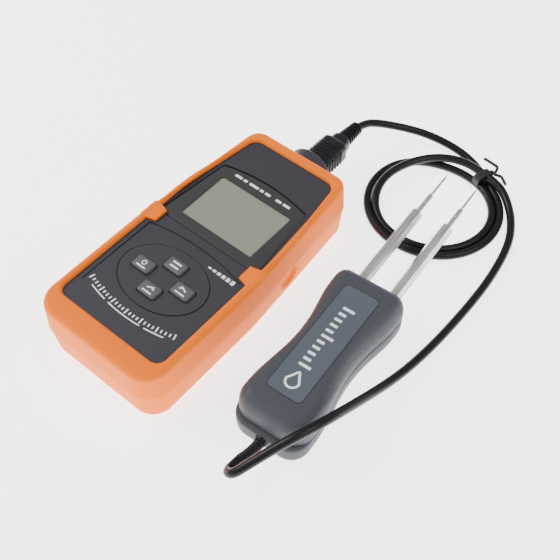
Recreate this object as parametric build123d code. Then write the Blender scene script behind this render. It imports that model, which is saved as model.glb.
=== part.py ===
from build123d import *
import math
import os

# Pin-type moisture meter in a rubber boot, with a plug-in probe on a coiled lead.
# Millimetres. X runs across the meter, +Y from the keypad towards the plug, +Z up.
# The origin is the centre of the meter's base, where it rests on a table.

# ---------------------------------------------------------------- driving dimensions
BOOT_HALF_WIDTH = 38.5
BOOT_HALF_WIDTH_TOP_END = 32.0
BOOT_HALF_LENGTH = 78.0
BOOT_HEIGHT = 36.0
BOOT_CREASE_Z = 19.0
BOOT_WALL = 3.4
BOOT_FLOOR = 2.6
TAPER_START_Y = -5.0
PANEL_Z = 34.0
CASE_BASE_Z = 3.0
PARTING_Z = 18.0
CASE_WALL = 2.3
PANEL_THICK = 2.4

OPENING_HALF_WIDTH = 33.0
OPENING_HALF_WIDTH_TOP_END = 26.7
OPENING_LOW_Y = -65.3
OPENING_HIGH_Y = 70.4
OPENING_TAPER_Y = 24.0
TAB_Y = (-6.9, 4.6)
TAB_REACH = 5.2
TAB_SLANT = 1.5
THUMB_DIMPLE = (23.5, 12.5)
THUMB_DIMPLE_RADIUS = 7.6
THUMB_DIMPLE_DEPTH = 1.6

DISPLAY_Y = 24.0
DISPLAY_VIEW = (46.0, 31.5)
LENS_Y = (2.0, 46.6)
LENS_HALF_WIDTH = 32.2
LENS_HALF_WIDTH_TOP_END = 27.3
LENS_ARCH_TOP_Y = 49.8
LENS_ARCH_RADIUS = 103.0
LENS_DEPTH = 0.4
LENS_THICK = 1.0
WINDOW = (49.0, 35.0)

KEYPAD_Y = -28.5
KEYPAD_RX = 24.75
KEYPAD_RY = 18.2
KEYPAD_PLATE_HALF_WIDTH = 30.3
KEYPAD_PLATE_LOW_Y = -54.0
KEYPAD_PLATE_DEPTH = 0.5
KEYPAD_GROOVE = (0.55, 0.8)
KEYPAD_ARCH_TOP_Y = -3.2
KEYPAD_ARCH_RADIUS = 125.0
KEY_OFFSET_X = 12.8
KEY_OFFSET_Y = 9.0
KEY_SIZE = (11.0, 7.5)
KEY_TOP_Z = 35.6
KEY_FLANGE_Z = (29.9, 31.0)
KEY_GAP = 0.35

SOCKET_Z = 18.0
SOCKET_RADIUS = 13.3
SOCKET_END_Y = 86.0
PLUG_SHELL = (12.0, 8.0)
PLUG_SHELL_WALL = 0.6
PLUG_SHELL_DEPTH = 12.0
PLUG_FIT_GAP = 0.3
PLUG_BODY = (15.6, 13.0)
PLUG_BODY_END_Y = 108.0
PLUG_NECK_END_Y = 113.5
PLUG_RELIEF_END_Y = 127.0

BATTERY = (26.4, 48.5, 17.4)
BATTERY_LOW_Y = -66.0
BATTERY_Z = 5.4
DOOR_HALF_WIDTH = 16.0
DOOR_Y = (-69.5, -14.0)
DOOR_Z = (0.7, 2.7)
DOOR_TRAVEL = 8.0

BOARD_Z = 24.0
BOARD_THICK = 1.6
CASE_SCREW_XY = ((-28.3, -61.5), (28.3, -61.5), (-23.6, 62.0), (23.6, 62.0))
BOARD_SCREW_XY = ((-23.0, -50.0), (23.0, -50.0), (-23.0, 50.0), (23.0, 50.0))

PROBE_X = 79.5
PROBE_Y = -8.0
PROBE_TURN = 4.67
HANDLE_HALF_LENGTH = 48.0
HANDLE_HALF_WIDTH = 19.2
HANDLE_WAIST = 14.4
HANDLE_HEIGHT = 29.0
HANDLE_PARTING = 15.0
HANDLE_WALL = 2.3
UPPER_REAR_Y = -43.5
LOWER_REAR_Y = -47.5
LABEL = (18.6, 67.5, 0.4)
LABEL_CENTRE_Y = 3.7
ROD_SPACING = 18.2
ROD_ACROSS_CORNERS = 7.2
ROD_Y = (24.0, 108.0)
NEEDLE_BORE_DEPTH = 10.0
NEEDLE_SHANK_R = 1.5
NEEDLE_SHANK_END = 14.0
NEEDLE_LENGTH = 34.0
RELIEF_Z = 11.0
RELIEF_END_Y = -63.0

CORD_D = 4.0
COIL_CENTRE = (61.5, 119.5)
COIL_RADII = (29.2, 37.6)
COIL_Z = (0.9, 7.0)

# Route of the cord from the plug's strain relief to the coil.
PLUG_SIDE_ROUTE = [
    (0.0, PLUG_RELIEF_END_Y, SOCKET_Z),
    (0.8, 137.0, 17.4),
    (7.5, 148.0, 14.0),
    (21.0, 157.5, 9.0),
    (37.5, 162.6, 5.2),
    (54.5, 162.2, 4.4),
    (68.5, 153.5, 4.4),
]

# Route of the cord from the coil to the probe's strain relief.
PROBE_SIDE_ROUTE = [
    (76.0, 150.8, 4.4),
    (86.5, 149.5, 3.2),
    (97.0, 141.0, 2.3),
    (105.0, 126.0, 2.2),
    (110.8, 105.0, 2.2),
    (112.3, 79.0, 2.2),
    (110.5, 50.0, 2.4),
    (106.5, 24.0, 5.0),
    (103.5, 2.0, 12.0),
    (103.0, -18.0, 23.5),
    (103.8, -37.0, 32.5),
    (99.8, -53.0, 33.0),
    (95.5, -63.0, 28.0),
    (92.0, -70.5, 20.0),
    (88.5, -79.0, 14.0),
    (83.9, -76.7, 10.5),
    (84.63, -70.79, RELIEF_Z),
]


# ---------------------------------------------------------------- helpers
def save(node, shape):
    """Write one node's solids to its own STEP file."""
    export_step(shape, f"parts/{node}.step")


def rounded_polygon(corners, radii):
    """Flat face inside a closed polygon whose corners are rounded, one radius each."""
    return make_face(FilletPolyline(*corners, radius=radii, close=True))


def mirrored(right_side):
    """Corner list of a shape symmetric about X = 0, from its right side, low Y first."""
    left_side = [(-x, y) for x, y in reversed(right_side)]
    return right_side + left_side


def block(x_range, y_range, z_range):
    """Box between two limits on each axis."""
    size = [high - low for low, high in (x_range, y_range, z_range)]
    centre = [(high + low) / 2 for low, high in (x_range, y_range, z_range)]
    return Pos(*centre) * Box(*size)


def rod_along_y(radius, y_range, x=0.0, z=0.0):
    """Round bar along Y."""
    length = y_range[1] - y_range[0]
    centre = Pos(x, (y_range[0] + y_range[1]) / 2, z)
    return centre * Rot(90, 0, 0) * Cylinder(radius, length)


def post(x, y, radius, z_range):
    """Round post along Z."""
    length = z_range[1] - z_range[0]
    return Pos(x, y, (z_range[0] + z_range[1]) / 2) * Cylinder(radius, length)


def union(shapes):
    """Join several solids into one shape."""
    joined = shapes[0]
    for shape in shapes[1:]:
        joined = joined + shape
    return joined


def edges_at(shape, z):
    """Edges of a shape that lie at one height."""
    return shape.edges().filter_by_position(Axis.Z, z - 0.01, z + 0.01)


def tube_along(route, diameter, report=None):
    """Round tube on straight runs joined by tangent arcs as large as the runs allow."""
    points = [Vector(*point) for point in route]
    radii = []
    for before, here, after in zip(points, points[1:], points[2:]):
        run_in = here - before
        run_out = after - here
        turn = math.radians(run_in.get_angle(run_out))
        shorter = min(run_in.length, run_out.length)
        radii.append(0.45 * shorter / math.tan(turn / 2))
    path = FilletPolyline(*points, radius=radii)
    section = Plane(origin=path @ 0, z_dir=path % 0) * Circle(diameter / 2)
    tube = sweep(section, path=path)
    if report:
        expected = math.pi * diameter ** 2 / 4 * path.length
        print(report, "length", round(path.length, 1), "radii", [round(r, 1) for r in radii])
        print(report, "volume / (section x length)", round(tube.volume / expected, 4))
    return tube


# ---------------------------------------------------------------- meter outline
def meter_outline(inset):
    """Plan outline of the meter, straight beside the keys and tapered to the plug end."""
    wide = BOOT_HALF_WIDTH - inset
    narrow = BOOT_HALF_WIDTH_TOP_END - inset
    end = BOOT_HALF_LENGTH - inset
    right = [(wide, -end), (wide, TAPER_START_Y), (narrow, end)]
    radii = [13.0 - inset, 300.0, 9.0 - 0.8 * inset]
    return rounded_polygon(mirrored(right), radii + radii[::-1])


def opening_outline(margin=0.0):
    """Plan outline of the boot's front opening."""
    wide = OPENING_HALF_WIDTH + margin
    narrow = OPENING_HALF_WIDTH_TOP_END + margin
    right = [(wide, OPENING_LOW_Y - margin), (wide, OPENING_TAPER_Y), (narrow, OPENING_HIGH_Y + margin)]
    radii = [5.0, 120.0, 6.0]
    return rounded_polygon(mirrored(right), radii + radii[::-1])


def key_centres():
    """Name and centre of each of the four keys, set in a diamond."""
    return {
        "key_power": (-KEY_OFFSET_X, KEYPAD_Y),
        "key_hold": (0.0, KEYPAD_Y + KEY_OFFSET_Y),
        "key_unit": (0.0, KEYPAD_Y - KEY_OFFSET_Y),
        "key_select": (KEY_OFFSET_X, KEYPAD_Y),
    }


# ---------------------------------------------------------------- meter
def make_boot():
    """Rubber boot: creased side walls, floor with the battery window, and a holding rim."""
    upper = extrude(Pos(0, 0, BOOT_CREASE_Z) * meter_outline(0), BOOT_HEIGHT - BOOT_CREASE_Z, taper=3)
    lower = extrude(Pos(0, 0, BOOT_CREASE_Z) * meter_outline(0), -BOOT_CREASE_Z, taper=5)
    boot = upper + lower
    boot = fillet(edges_at(boot, BOOT_HEIGHT), 3.0)
    boot = fillet(edges_at(boot, 0), 3.0)
    cavity = Pos(0, 0, BOOT_FLOOR) * meter_outline(BOOT_WALL)
    boot = boot - extrude(cavity, PANEL_Z + 0.3 - BOOT_FLOOR)
    boot = boot - extrude(Pos(0, 0, PANEL_Z - 1) * opening_outline(), BOOT_HEIGHT)
    boot = boot - block((-20.0, 20.0), (DOOR_Y[0] - 2.0, DOOR_Y[1] + DOOR_TRAVEL + 3.0), (-1.0, 3.0))
    boot = boot - rod_along_y(SOCKET_RADIUS + 0.3, (60.0, 90.0), z=SOCKET_Z)
    for side in (-1, 1):
        inner = side * (OPENING_HALF_WIDTH - TAB_REACH)
        outer = side * (OPENING_HALF_WIDTH + 3.0)
        corners = [(inner, TAB_Y[0] + TAB_SLANT), (inner, TAB_Y[1] - TAB_SLANT),
                   (outer, TAB_Y[1]), (outer, TAB_Y[0])]
        tab = make_face(Polyline(*corners, close=True))
        boot = boot + extrude(Pos(0, 0, PANEL_Z + 0.3) * tab, 1.3)
    return boot - thumb_dimple()


def thumb_dimple():
    """Ball that presses a shallow round dimple into the boot's right wall."""
    ball_radius = (THUMB_DIMPLE_RADIUS ** 2 + THUMB_DIMPLE_DEPTH ** 2) / (2 * THUMB_DIMPLE_DEPTH)
    slope = (BOOT_HALF_WIDTH - BOOT_HALF_WIDTH_TOP_END) / (BOOT_HALF_LENGTH - TAPER_START_Y)
    wall_x = BOOT_HALF_WIDTH - slope * (THUMB_DIMPLE[0] - TAPER_START_Y) - 0.4
    return Pos(wall_x - THUMB_DIMPLE_DEPTH + ball_radius, *THUMB_DIMPLE) * Sphere(ball_radius)


def socket_collar(z_range, inner_radius):
    """One half of the round collar that holds the probe socket."""
    collar = rod_along_y(SOCKET_RADIUS, (70.0, SOCKET_END_Y), z=SOCKET_Z)
    collar = fillet(collar.edges().group_by(Axis.Y)[-1], 1.5)
    collar = collar - rod_along_y(inner_radius, (69.0, SOCKET_END_Y - 2.0), z=SOCKET_Z)
    width, height = (size / 2 + PLUG_FIT_GAP for size in PLUG_SHELL)
    slot = block((-width, width), (80.0, 90.0), (SOCKET_Z - height, SOCKET_Z + height))
    return (collar - slot) & block((-20, 20), (60, 95), z_range)


def below_arch(top_y, radius, z_range):
    """Block of everything on the keypad side of an arched line across the panel."""
    centre_y = top_y - radius
    arch = post(0.0, centre_y, radius, z_range)
    return arch & block((-40.0, 40.0), (-80.0, 80.0), z_range)


def keypad_recess():
    """Shallow recess of the keypad plate: deepest at its arched edge, none at its low end."""
    high_y = KEYPAD_ARCH_TOP_Y + 1.0
    slope = KEYPAD_PLATE_DEPTH / (KEYPAD_ARCH_TOP_Y - KEYPAD_PLATE_LOW_Y)
    corners = [(KEYPAD_PLATE_LOW_Y, PANEL_Z), (high_y, PANEL_Z - slope * (high_y - KEYPAD_PLATE_LOW_Y)),
               (high_y, PANEL_Z + 1.0), (KEYPAD_PLATE_LOW_Y, PANEL_Z + 1.0)]
    side = Plane(origin=(-KEYPAD_PLATE_HALF_WIDTH, 0, 0), x_dir=(0, 1, 0), z_dir=(1, 0, 0))
    wedge = extrude(side * make_face(Polyline(*corners, close=True)), 2 * KEYPAD_PLATE_HALF_WIDTH)
    wedge = wedge & below_arch(KEYPAD_ARCH_TOP_Y, KEYPAD_ARCH_RADIUS, (30.0, 36.0))
    oval = Pos(0, KEYPAD_Y, PANEL_Z - 2) * Ellipse(KEYPAD_RX, KEYPAD_RY)
    return wedge - extrude(oval, 5)


def keypad_grooves():
    """Narrow grooves at the foot of the oval pad, along the arch and along the left edge."""
    width, depth = KEYPAD_GROOVE
    base = PANEL_Z - depth
    oval = Ellipse(KEYPAD_RX + width, KEYPAD_RY + width) - Ellipse(KEYPAD_RX, KEYPAD_RY)
    grooves = extrude(Pos(0, KEYPAD_Y, base) * oval, 3)
    arch = Circle(KEYPAD_ARCH_RADIUS) - Circle(KEYPAD_ARCH_RADIUS - width)
    arch = extrude(Pos(0, KEYPAD_ARCH_TOP_Y - KEYPAD_ARCH_RADIUS, base) * arch, 3)
    edge = KEYPAD_PLATE_HALF_WIDTH
    grooves = grooves + (arch & block((-edge, edge), (-20.0, 0.0), (30.0, 38.0)))
    corner_y = KEYPAD_ARCH_TOP_Y - KEYPAD_ARCH_RADIUS + math.sqrt(KEYPAD_ARCH_RADIUS ** 2 - edge ** 2)
    return grooves + block((-edge, -edge + width), (KEYPAD_PLATE_LOW_Y + 1.0, corner_y), (base, 38.0))


def lens_solid(margin, z_range):
    """Outline of the display lens, arched at its plug end, between two heights."""
    low = (LENS_HALF_WIDTH + margin, LENS_Y[0] - margin)
    high = (LENS_HALF_WIDTH_TOP_END + margin, LENS_Y[1] + margin)
    slope = (high[0] - low[0]) / (high[1] - low[1])
    beyond = (high[0] + slope * 6.0, high[1] + 6.0)
    face = make_face(Polyline(*mirrored([low, beyond]), close=True))
    lens = extrude(Pos(0, 0, z_range[0]) * face, z_range[1] - z_range[0])
    lens = lens & below_arch(LENS_ARCH_TOP_Y + margin, LENS_ARCH_RADIUS, z_range)
    return fillet(lens.edges().filter_by(Axis.Z), 2.0 + margin)


def make_front_case():
    """Front shell: panel with lens recess, display window, key holes and screw posts."""
    height = PANEL_Z - PARTING_Z
    case = extrude(Pos(0, 0, PARTING_Z) * meter_outline(BOOT_WALL + 0.1), height)
    hollow = extrude(Pos(0, 0, PARTING_Z) * meter_outline(BOOT_WALL + CASE_WALL), height - PANEL_THICK)
    case = case - hollow
    case = case + socket_collar((PARTING_Z, 40), SOCKET_RADIUS - 2.2)
    bore = rod_along_y(SOCKET_RADIUS - 2.2, (69.0, 80.0), z=SOCKET_Z)
    case = case - (bore & block((-20, 20), (60, 95), (PARTING_Z, 40)))
    for x, y in CASE_SCREW_XY:
        case = case + post(x, y, 3.2, (PARTING_Z, PANEL_Z - PANEL_THICK))
        case = case - post(x, y, 1.25, (PARTING_Z - 1, 28.0))
    for x, y in BOARD_SCREW_XY:
        case = case + post(x, y, 2.6, (BOARD_Z + BOARD_THICK, PANEL_Z - PANEL_THICK))
        case = case - post(x, y, 1.05, (BOARD_Z, PANEL_Z - 4.0))
    case = case - lens_solid(0.5, (PANEL_Z - LENS_DEPTH - LENS_THICK, PANEL_Z + 3))
    case = case - extrude(Pos(0, DISPLAY_Y, PANEL_Z - 5) * Rectangle(*WINDOW), 6)
    for x, y in key_centres().values():
        hole = RectangleRounded(KEY_SIZE[0] + 2 * KEY_GAP, KEY_SIZE[1] + 2 * KEY_GAP, 1.2)
        case = case - extrude(Pos(x, y, PANEL_Z - 5) * hole, 6)
    return case - keypad_recess() - keypad_grooves()


def make_rear_case():
    """Rear shell: battery bay, door rails, screw posts and the lower half of the collar."""
    height = PARTING_Z - CASE_BASE_Z
    case = extrude(Pos(0, 0, CASE_BASE_Z) * meter_outline(BOOT_WALL + 0.1), height)
    hollow_base = CASE_BASE_Z + CASE_WALL
    hollow = extrude(Pos(0, 0, hollow_base) * meter_outline(BOOT_WALL + CASE_WALL), PARTING_Z - hollow_base)
    case = case - hollow
    case = case + socket_collar((0, PARTING_Z), SOCKET_RADIUS - 2.2)
    bore = rod_along_y(SOCKET_RADIUS - 2.2, (69.0, 80.0), z=SOCKET_Z)
    case = case - (bore & block((-20, 20), (60, 95), (0, PARTING_Z)))
    bay_half = BATTERY[0] / 2 + 0.8
    bay_y = (BATTERY_LOW_Y - 0.8, BATTERY_LOW_Y + BATTERY[1] + 3.5)
    for side in (-1, 1):
        wall = sorted((side * bay_half, side * (bay_half + 1.3)))
        case = case + block(wall, bay_y, (hollow_base - 0.5, PARTING_Z - 0.2))
    case = case - block((-bay_half, bay_half), bay_y, (0, hollow_base + 0.1))
    for x, y in CASE_SCREW_XY:
        case = case + post(x, y, 3.4, (CASE_BASE_Z, PARTING_Z))
        case = case - post(x, y, 1.35, (0, PARTING_Z + 1))
        case = case - post(x, y, 2.9, (0, CASE_BASE_Z + 2.4))
    return case + door_rails()


def door_rails():
    """Two dovetail rails under the rear case that hold the battery door."""
    rails = []
    rail_y = (DOOR_Y[0], DOOR_Y[1] + DOOR_TRAVEL)
    for side in (-1, 1):
        near_top = side * (DOOR_HALF_WIDTH + 0.35)
        near_low = side * (DOOR_HALF_WIDTH - 0.85)
        far = side * (DOOR_HALF_WIDTH + 3.0)
        corners = [(near_top, CASE_BASE_Z), (near_top, DOOR_Z[1] - 0.4), (near_low, DOOR_Z[0]),
                   (far, DOOR_Z[0]), (far, CASE_BASE_Z)]
        profile = Plane(origin=(0, rail_y[1], 0), z_dir=(0, -1, 0), x_dir=(1, 0, 0))
        face = profile * make_face(Polyline(*corners, close=True))
        rails.append(extrude(face, rail_y[1] - rail_y[0]))
    return union(rails)


def make_battery_door():
    """Sliding door with dovetail edges and finger ribs at its keypad end."""
    top = DOOR_HALF_WIDTH
    low = DOOR_HALF_WIDTH - 1.2
    corners = [(-top, DOOR_Z[1]), (top, DOOR_Z[1]), (top, DOOR_Z[1] - 0.4), (low, DOOR_Z[0]),
               (-low, DOOR_Z[0]), (-top, DOOR_Z[1] - 0.4)]
    profile = Plane(origin=(0, DOOR_Y[1], 0), z_dir=(0, -1, 0), x_dir=(1, 0, 0))
    door = extrude(profile * make_face(Polyline(*corners, close=True)), DOOR_Y[1] - DOOR_Y[0])
    for index in range(5):
        y = DOOR_Y[0] + 4.0 + 2.4 * index
        door = door - block((-9.0, 9.0), (y, y + 1.2), (0, DOOR_Z[0] + 0.7))
    return door


def make_display():
    """Display stack: window, glass, holder and the two contact strips."""
    lens_top = PANEL_Z - LENS_DEPTH
    save("display_lens", lens_solid(0.0, (lens_top - LENS_THICK, lens_top)))
    glass_z = (29.2, 31.4)
    save("lcd_glass", block((-26.0, 26.0), (DISPLAY_Y - 19.5, DISPLAY_Y + 19.5), glass_z))
    holder = block((-27.0, 27.0), (DISPLAY_Y - 16.5, DISPLAY_Y + 16.5), (BOARD_Z + BOARD_THICK, glass_z[0]))
    light_well = block((-24.0, 24.0), (DISPLAY_Y - 14.0, DISPLAY_Y + 14.0), (27.0, 30.0))
    save("lcd_holder", holder - light_well)
    strips = []
    for side in (-1, 1):
        y = DISPLAY_Y + side * 18.0
        strips.append(block((-23.0, 23.0), (y - 1.0, y + 1.0), (BOARD_Z + BOARD_THICK, glass_z[0])))
    save("contact_strips", Compound(strips))


def make_keypad():
    """Keypad mat, its snap domes and the four keys."""
    mat_z = (27.2, 28.6)
    board_top = BOARD_Z + BOARD_THICK
    mat = extrude(Pos(0, KEYPAD_Y, mat_z[0]) * RectangleRounded(42.0, 33.0, 3.0), mat_z[1] - mat_z[0])
    domes = []
    for name, (x, y) in key_centres().items():
        mat = mat - post(x, y, 2.2, (20.0, 30.0))
        domes.append(post(x, y, 3.0, (board_top, board_top + 0.6)))
        size_x, size_y = KEY_SIZE
        cap = extrude(Pos(x, y, KEY_FLANGE_Z[0]) * RectangleRounded(size_x, size_y, 0.9),
                      KEY_TOP_Z - KEY_FLANGE_Z[0])
        cap = fillet(edges_at(cap, KEY_TOP_Z), 0.7)
        flange = block((x - size_x / 2 - 0.8, x + size_x / 2 + 0.8),
                       (y - size_y / 2 - 0.5, y + size_y / 2 + 0.5), KEY_FLANGE_Z)
        plunger = post(x, y, 1.7, (27.4, KEY_FLANGE_Z[0]))
        save(name, cap + flange + plunger)
    save("keypad_mat", mat)
    save("snap_domes", Compound(domes))


def make_board():
    """Main circuit board with its chips, buzzer and screws."""
    board = block((-25.8, 25.8), (-57.0, 57.0), (BOARD_Z, BOARD_Z + BOARD_THICK))
    screws = []
    for x, y in BOARD_SCREW_XY:
        board = board - post(x, y, 1.3, (BOARD_Z - 1, BOARD_Z + 3))
        head = post(x, y, 2.0, (BOARD_Z - 1.3, BOARD_Z))
        screws.append(head + post(x, y, 1.0, (BOARD_Z - 0.1, BOARD_Z + 5.2)))
    save("main_board", board)
    save("board_screws", Compound(screws))
    chip_boxes = (((-6.0, 8.0), (18.0, 32.0)), ((-20.0, -14.0), (8.0, 15.0)), ((15.0, 22.0), (4.0, 10.0)))
    chips = [block(x_range, y_range, (BOARD_Z - 1.8, BOARD_Z)) for x_range, y_range in chip_boxes]
    save("board_chips", Compound(chips))
    buzzer = post(-15.0, 42.0, 6.0, (BOARD_Z - 5.0, BOARD_Z))
    save("buzzer", buzzer - post(-15.0, 42.0, 1.2, (BOARD_Z - 6.0, BOARD_Z - 3.0)))


def make_battery():
    """Battery with two terminals, its snap cap and the two leads to the board."""
    low_x, high_x = -BATTERY[0] / 2, BATTERY[0] / 2
    high_y = BATTERY_LOW_Y + BATTERY[1]
    body_end = high_y - 2.2
    cell = block((low_x, high_x), (BATTERY_LOW_Y, body_end), (BATTERY_Z, BATTERY_Z + BATTERY[2]))
    cell = fillet(cell.edges().filter_by(Axis.Y), 2.0)
    middle_z = BATTERY_Z + BATTERY[2] / 2
    for x, radius in ((-6.4, 3.0), (6.4, 3.6)):
        cell = cell + rod_along_y(radius, (body_end - 0.5, high_y), x=x, z=middle_z)
    save("battery", cell)
    cap = block((-12.5, 12.5), (high_y + 0.1, high_y + 2.6), (middle_z - 6.0, middle_z + 6.0))
    save("battery_snap", cap)
    leads = []
    for x, end_x in ((-4.0, -10.0), (4.0, 12.0)):
        route = [(x, high_y + 2.6, middle_z), (x, high_y + 7.0, middle_z), (end_x, high_y + 13.0, 19.0),
                 (end_x, high_y + 15.0, BOARD_Z - 0.4)]
        leads.append(tube_along(route, 1.3))
    save("battery_leads", Compound(leads))


def make_case_screws():
    """Four case screws, driven from behind into the front shell's posts."""
    screws = []
    for x, y in CASE_SCREW_XY:
        head = post(x, y, 2.6, (CASE_BASE_Z + 0.6, CASE_BASE_Z + 2.4))
        drive = post(x, y, 1.0, (CASE_BASE_Z, CASE_BASE_Z + 1.6))
        shank = post(x, y, 1.2, (CASE_BASE_Z + 2.3, 27.0))
        screws.append(head + shank - drive)
    save("case_screws", Compound(screws))


def make_socket():
    """Probe socket in the collar, open to the plug, with a contact tongue."""
    width, height = (size / 2 + PLUG_FIT_GAP for size in PLUG_SHELL)
    outer = block((-8.2, 8.2), (66.0, SOCKET_END_Y - 2.0), (SOCKET_Z - 6.2, SOCKET_Z + 6.2))
    inside_y = (SOCKET_END_Y - PLUG_SHELL_DEPTH - 0.5, SOCKET_END_Y)
    inside = block((-width, width), inside_y, (SOCKET_Z - height, SOCKET_Z + height))
    tongue = block((-4.5, 4.5), (inside_y[0] - 1, SOCKET_END_Y - 4.0), (SOCKET_Z - 1.1, SOCKET_Z + 1.1))
    save("probe_socket", outer - inside + tongue)


# ---------------------------------------------------------------- plug
def rounded_bar(size, radius, y_range):
    """Rounded rectangular bar along Y at the socket's height."""
    plane = Plane(origin=(0, y_range[1], SOCKET_Z), z_dir=(0, -1, 0), x_dir=(1, 0, 0))
    return extrude(plane * RectangleRounded(size[0], size[1], radius), y_range[1] - y_range[0])


def make_plug():
    """Moulded plug with its metal shell, insulator, contacts and ribbed strain relief."""
    face_y = SOCKET_END_Y + PLUG_FIT_GAP
    body = rounded_bar(PLUG_BODY, 3.5, (face_y, PLUG_BODY_END_Y))
    body = fillet(body.edges().group_by(Axis.Y)[-1], 2.0)
    for index in range(5):
        y = face_y + 5.0 + 2.6 * index
        for side in (-1, 1):
            groove_x = sorted((side * (PLUG_BODY[0] / 2 - 0.6), side * (PLUG_BODY[0] / 2 + 1)))
            body = body - block(groove_x, (y, y + 1.1), (SOCKET_Z - 3.5, SOCKET_Z + 3.5))
    body = body + rounded_bar((11.4, 10.4), 3.5, (PLUG_BODY_END_Y - 1, PLUG_NECK_END_Y))
    shell_y = (face_y - PLUG_SHELL_DEPTH, face_y)
    shell = rounded_bar(PLUG_SHELL, 1.0, shell_y)
    inner = [size - 2 * PLUG_SHELL_WALL for size in PLUG_SHELL]
    save("plug_body", body)
    save("plug_shell", shell - rounded_bar(inner, 0.5, (shell_y[0] - 1, face_y + 1)))
    carrier_z = (SOCKET_Z + 1.7, SOCKET_Z + inner[1] / 2 - 0.05)
    save("plug_insulator", block((-5.0, 5.0), (shell_y[0] + 1, face_y), carrier_z))
    contacts = []
    for x in (-3.3, -1.1, 1.1, 3.3):
        contacts.append(block((x - 0.5, x + 0.5), (shell_y[0] + 1.5, face_y), (SOCKET_Z + 1.4, carrier_z[0])))
    save("plug_contacts", Compound(contacts))
    save("plug_relief", ribbed_relief(4.9, 3.8, PLUG_NECK_END_Y, PLUG_RELIEF_END_Y, 5, SOCKET_Z))


def ribbed_relief(start_radius, end_radius, start_y, end_y, grooves, z):
    """Tapered sleeve along Y with evenly spaced ring grooves."""
    length = end_y - start_y
    cone = Pos(0, (start_y + end_y) / 2, z) * Rot(-90, 0, 0) * Cone(start_radius, end_radius, abs(length))
    if length < 0:
        cone = Pos(0, (start_y + end_y) / 2, z) * Rot(90, 0, 0) * Cone(start_radius, end_radius, -length)
    pitch = length / (grooves + 1)
    width = 0.45 * abs(pitch)
    for index in range(grooves):
        middle = start_y + pitch * (index + 1)
        ring_y = (middle - width / 2, middle + width / 2)
        ring = rod_along_y(start_radius + 1, ring_y, z=z) - rod_along_y(end_radius - 0.7, ring_y, z=z)
        cone = cone - ring
    return cone


# ---------------------------------------------------------------- probe
def on_probe(shape):
    """Place a shape drawn in the probe's own frame, its length along Y, where the probe lies."""
    return Pos(PROBE_X, PROBE_Y, 0) * Rot(0, 0, PROBE_TURN) * shape


def handle_outline(inset, rear_y):
    """Plan outline of the waisted handle."""
    wide = HANDLE_HALF_WIDTH - inset
    waist = HANDLE_WAIST - inset
    front = HANDLE_HALF_LENGTH - inset
    rear = rear_y + inset
    right = [(wide, rear), (wide, -26.0), (waist, 6.0), (wide, 34.0), (wide, front)]
    radii = [10.0 - inset, 80.0, 85.0, 60.0, 7.0 - inset]
    return rounded_polygon(mirrored(right), radii + radii[::-1])


def handle_screw_places():
    """Plan position of each handle screw, in the probe's frame."""
    return ((-10.0, -33.0), (10.0, -33.0), (0.0, 20.0))


def make_upper_shell():
    """Upper handle shell with a rounded top, a label recess and rod notches."""
    top_inner = HANDLE_HEIGHT - HANDLE_WALL
    shell = extrude(Pos(0, 0, HANDLE_PARTING) * handle_outline(0, UPPER_REAR_Y),
                    HANDLE_HEIGHT - HANDLE_PARTING)
    shell = fillet(edges_at(shell, HANDLE_HEIGHT), 4.5)
    hollow = extrude(Pos(0, 0, HANDLE_PARTING) * handle_outline(HANDLE_WALL + 1.0, UPPER_REAR_Y),
                     top_inner - HANDLE_PARTING)
    shell = shell - hollow
    for x, y in handle_screw_places():
        shell = shell + post(x, y, 3.0, (HANDLE_PARTING, top_inner + 0.1))
        shell = shell - post(x, y, 1.25, (HANDLE_PARTING - 1, HANDLE_PARTING + 8.0))
    recess = RectangleRounded(LABEL[0] + 0.2, LABEL[1] + 0.2, 2.6)
    shell = shell - extrude(Pos(0, LABEL_CENTRE_Y, HANDLE_HEIGHT - 0.3) * recess, 1)
    return shell - rod_holes(ROD_ACROSS_CORNERS / 2 + 0.1)


def rod_holes(radius):
    """Two round bars where the rods leave the handle's front wall."""
    holes = []
    for side in (-1, 1):
        holes.append(rod_along_y(radius, (40.0, 52.0), x=side * ROD_SPACING / 2, z=HANDLE_PARTING))
    return union(holes)


def make_lower_shell():
    """Lower handle shell with a rear notch for the cord's strain relief."""
    shell = extrude(handle_outline(0, LOWER_REAR_Y), HANDLE_PARTING)
    shell = fillet(edges_at(shell, 0), 4.0)
    hollow = extrude(Pos(0, 0, HANDLE_WALL) * handle_outline(HANDLE_WALL + 1.0, LOWER_REAR_Y),
                     HANDLE_PARTING - HANDLE_WALL)
    shell = shell - hollow
    shell = shell + block((-9.3, 9.3), (LOWER_REAR_Y + 2.0, -41.0), (1.0, HANDLE_PARTING))
    shell = shell - block((-7.0, 7.0), (LOWER_REAR_Y - 2.0, -43.5), (4.5, HANDLE_PARTING + 1))
    shell = shell - rod_along_y(3.5, (-46.0, -38.0), z=RELIEF_Z)
    for x, y in handle_screw_places():
        shell = shell + post(x, y, 3.4, (1.0, HANDLE_PARTING))
        shell = shell - post(x, y, 1.35, (-1, HANDLE_PARTING + 1))
        shell = shell - post(x, y, 2.7, (-1, 3.0))
    return shell - rod_holes(ROD_ACROSS_CORNERS / 2 + 0.1)


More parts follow.
